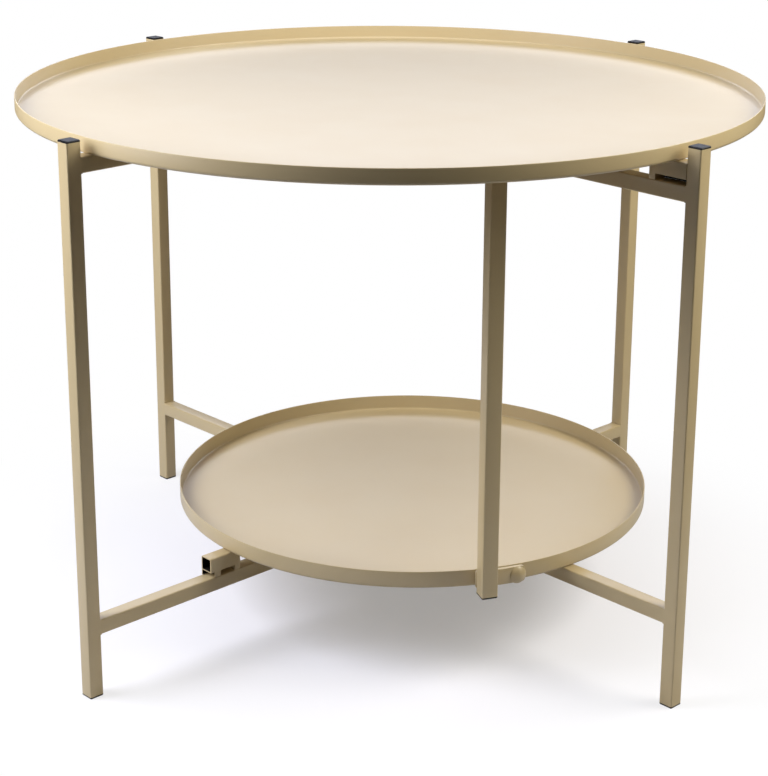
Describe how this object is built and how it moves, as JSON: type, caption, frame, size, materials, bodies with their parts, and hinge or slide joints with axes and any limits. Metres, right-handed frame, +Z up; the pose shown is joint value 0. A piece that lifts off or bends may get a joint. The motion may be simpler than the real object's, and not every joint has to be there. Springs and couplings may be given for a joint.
{
  "type": "tiered side table",
  "caption": "Round two-tier tray table on a folding stand of crossed square-tube frames, with a large lift-off top tray and a smaller tray near the floor.",
  "frame": {"origin": "on the floor, at the upright axis about which the two leg frames fold", "axes": "+Z up, -Y to the front where the upright stands, +X to the right"},
  "size_m": [0.5999, 0.6, 0.4365],
  "materials": {
    "sand_paint": "satin sand-coloured paint on steel",
    "black_plastic": "moulded black polyethylene, matt",
    "zinc_steel": "bright zinc-plated steel",
    "white_nylon": "natural nylon"
  },
  "bodies": {
    "frame_outer": {"leg_front_left": "sand_paint", "leg_back_right": "sand_paint", "upper_rail_outer": "sand_paint", "lower_rail_outer": "sand_paint", "rest_lower_left": "sand_paint", "rest_lower_right": "sand_paint", "cap_front_left": "black_plastic", "cap_back_right": "black_plastic", "glide_front_left": "black_plastic", "glide_back_right": "black_plastic", "pivot_nut_upper": "zinc_steel", "pivot_bush_upper": "white_nylon", "pivot_bolt_upper": "zinc_steel"},
    "frame_inner": {"leg_front_right": "sand_paint", "leg_back_left": "sand_paint", "upper_rail_inner": "sand_paint", "lower_rail_inner": "sand_paint", "rest_upper_right": "sand_paint", "rest_upper_left": "sand_paint", "cap_front_right": "black_plastic", "cap_back_left": "black_plastic", "glide_front_right": "black_plastic", "glide_back_left": "black_plastic", "pivot_nut_lower": "zinc_steel", "pivot_bush_lower": "white_nylon", "pivot_bolt_lower": "zinc_steel"},
    "top_tray_unit": {"top_tray": "sand_paint"},
    "lower_tray_unit": {"lower_tray": "sand_paint", "front_upright": "sand_paint", "upright_tab": "sand_paint", "tab_bolt": "sand_paint", "tab_nut": "zinc_steel", "upright_cap": "black_plastic", "upright_plug": "black_plastic"}
  },
  "joints": [
    {"name": "frame_fold", "type": "hinge", "parent": "frame_outer", "child": "frame_inner", "pos_m": [0, 0, 0], "axis": [0, 0, 1], "range_deg": [0, 85]},
    {"name": "top_tray_lift", "type": "slide", "parent": "frame_outer", "child": "top_tray_unit", "axis": [0, 0, 1], "range_m": [0, 0.15]},
    {"name": "lower_tray_pull", "type": "slide", "parent": "frame_outer", "child": "lower_tray_unit", "axis": [-0.0916, -0.9958, 0], "range_m": [0, 0.45]}
  ]
}
